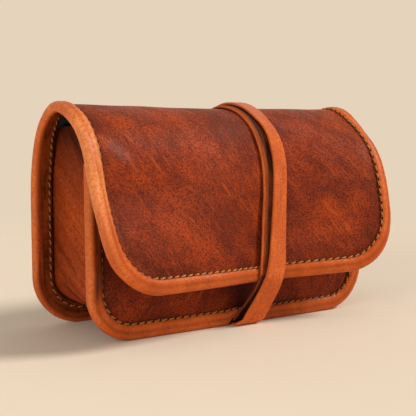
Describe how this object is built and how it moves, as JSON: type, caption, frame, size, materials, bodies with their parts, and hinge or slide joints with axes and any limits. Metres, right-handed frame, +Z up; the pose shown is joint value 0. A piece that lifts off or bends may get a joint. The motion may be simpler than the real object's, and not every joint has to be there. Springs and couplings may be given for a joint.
{
  "type": "tobacco pouch",
  "caption": "Leather tobacco pouch with a folding flap, a gusseted compartment, an inner slip pocket, rolled bindings and a wrapped thong closure.",
  "frame": {"origin": "on the table under the middle of the closed pouch (centre of the bounding box's bottom face)", "axes": "+X along the width, to the right as one faces the flap; the flap faces -Y; +Z up"},
  "size_m": [0.164, 0.076, 0.1036],
  "materials": {
    "mahogany_leather": "waxed, crackled, warm red-brown",
    "tan_leather": "rolled orange-tan leather, satin",
    "gusset_leather": "thin, creased, matte tan-brown",
    "rubbered_lining": "coated cloth, dark green-black",
    "golden_thread": "waxed twisted thread",
    "suede_thong": "suede, orange-tan"
  },
  "bodies": {
    "pouch_body": {"back_panel": "mahogany_leather", "back_lining": "rubbered_lining", "back_binding": "tan_leather", "back_outer_stitching": "golden_thread", "back_inner_stitching": "golden_thread", "front_panel": "mahogany_leather", "front_lining": "rubbered_lining", "front_binding": "tan_leather", "front_stitching": "golden_thread", "mouth_binding": "tan_leather", "mouth_stitching": "golden_thread", "gusset": "gusset_leather", "gusset_lining": "rubbered_lining", "slip_pocket": "tan_leather", "pocket_stitching": "golden_thread"},
    "flap_rear": {"flap_rear_panel": "mahogany_leather", "flap_rear_lining": "rubbered_lining", "flap_rear_binding_left": "tan_leather", "flap_rear_binding_right": "tan_leather", "flap_rear_stitching_left": "golden_thread", "flap_rear_stitching_right": "golden_thread"},
    "flap_mid": {"flap_mid_panel": "mahogany_leather", "flap_mid_lining": "rubbered_lining", "flap_mid_binding_left": "tan_leather", "flap_mid_binding_right": "tan_leather", "flap_mid_stitching_left": "golden_thread", "flap_mid_stitching_right": "golden_thread"},
    "flap_front": {"flap_front_panel": "mahogany_leather", "flap_front_lining": "rubbered_lining", "flap_front_binding": "tan_leather", "flap_front_stitching": "golden_thread"},
    "wrap_strap": {"wrap_strap": "suede_thong"}
  },
  "joints": [
    {"name": "flap_back_fold", "type": "hinge", "parent": "pouch_body", "child": "flap_rear", "pos_m": [0, 0.02216, 0.09597], "axis": [-1, 0, 0], "range_deg": [0, 172], "deforming": ["wrap_strap"]},
    {"name": "flap_mid_fold", "type": "hinge", "parent": "flap_rear", "child": "flap_mid", "pos_m": [0, 0.00395, 0.10241], "axis": [-1, 0, 0], "range_deg": [0, 76]},
    {"name": "flap_front_fold", "type": "hinge", "parent": "flap_mid", "child": "flap_front", "pos_m": [0, -0.01367, 0.09451], "axis": [-1, 0, 0], "range_deg": [0, 66]},
    {"name": "strap_slip_off", "type": "slide", "parent": "pouch_body", "child": "wrap_strap", "axis": [1, 0, 0], "range_m": [0, 0.09]}
  ],
  "couplings": [
    {"joint": "flap_mid_fold", "follows": "flap_back_fold", "ratio": 0.44},
    {"joint": "flap_front_fold", "follows": "flap_back_fold", "ratio": 0.38}
  ]
}
